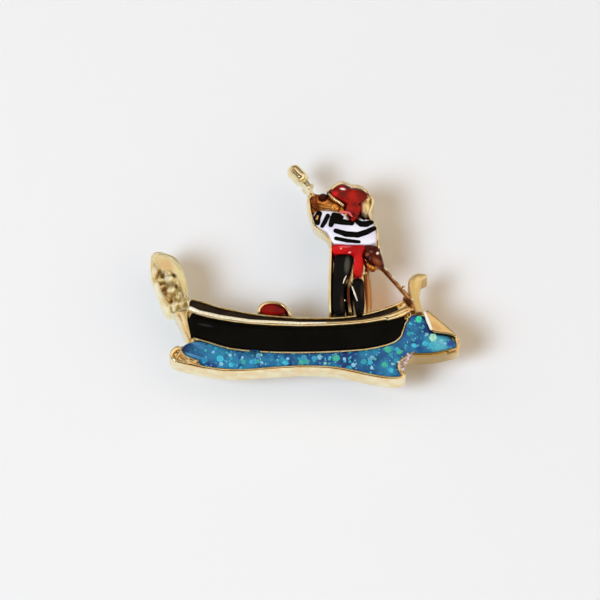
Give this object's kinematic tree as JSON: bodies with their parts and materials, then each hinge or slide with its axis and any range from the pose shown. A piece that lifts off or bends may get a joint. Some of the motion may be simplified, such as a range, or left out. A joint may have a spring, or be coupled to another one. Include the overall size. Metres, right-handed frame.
{
  "type": "enamelled gondola brooch",
  "caption": "Small gold plated and enamelled brooch in the shape of a gondola with its oarsman, with a hinged pin and a turning catch on its back.",
  "frame": {"origin": "middle of the bounding box in plan, on the surface that the brooch lies on", "axes": "+X from bow to stern, +Y the boat's own up, +Z out of the face, away from the cloth"},
  "size_m": [0.0232, 0.018, 0.0044],
  "materials": {
    "gold_plate": "polished",
    "old_gold": "satin",
    "black_enamel": "gloss",
    "blue_enamel": "gloss",
    "red_enamel": "gloss",
    "white_enamel": "gloss",
    "brown_enamel": "gloss",
    "bright_steel": "polished"
  },
  "bodies": {
    "brooch": {"bow_post": "gold_plate", "prow_plate": "gold_plate", "prow_leaf": "gold_plate", "prow_prong_1": "gold_plate", "prow_prong_2": "gold_plate", "prow_prong_3": "gold_plate", "prow_prong_4": "gold_plate", "prow_bead_1": "gold_plate", "prow_bead_2": "gold_plate", "prow_bead_3": "gold_plate", "wave_base": "gold_plate", "wave_rim": "gold_plate", "wave_crest": "gold_plate", "oar_blade": "gold_plate", "hull_plate": "gold_plate", "keel_rail": "gold_plate", "near_gunwale": "gold_plate", "far_gunwale": "gold_plate", "stern_post": "gold_plate", "stern_curl": "gold_plate", "seat_back": "gold_plate", "seat_rim": "gold_plate", "legs_plate": "gold_plate", "chest_plate": "gold_plate", "figure_edge_left": "gold_plate", "figure_edge_right": "gold_plate", "leg_seam": "gold_plate", "hat_brim": "gold_plate", "oar_knob": "gold_plate", "oar_loom": "gold_plate", "oar_shaft": "gold_plate", "pin_bar": "gold_plate", "hinge_bracket": "gold_plate", "hinge_rivet": "gold_plate", "catch_block": "gold_plate", "head": "old_gold", "raised_arm": "old_gold", "hull_side": "black_enamel", "hull_inside": "black_enamel", "trouser_left": "black_enamel", "trouser_right": "black_enamel", "water": "blue_enamel", "sash": "red_enamel", "neck_ribbon": "red_enamel", "hat": "red_enamel", "seat_cushion": "red_enamel", "shirt": "white_enamel", "lowered_arm": "brown_enamel", "oar_hand": "brown_enamel"},
    "pin": {"pin_stem": "bright_steel"},
    "collar": {"catch_collar": "gold_plate"}
  },
  "joints": [
    {"name": "pin_swing", "type": "hinge", "parent": "brooch", "child": "pin", "pos_m": [0.00622, -0.00476, 0.0007], "axis": [0, -1, 0], "range_deg": [0, 100]},
    {"name": "collar_turn", "type": "hinge", "parent": "brooch", "child": "collar", "pos_m": [-0.00648, -0.00476, 0.0007], "axis": [1, 0, 0], "range_deg": [0, 150]}
  ]
}
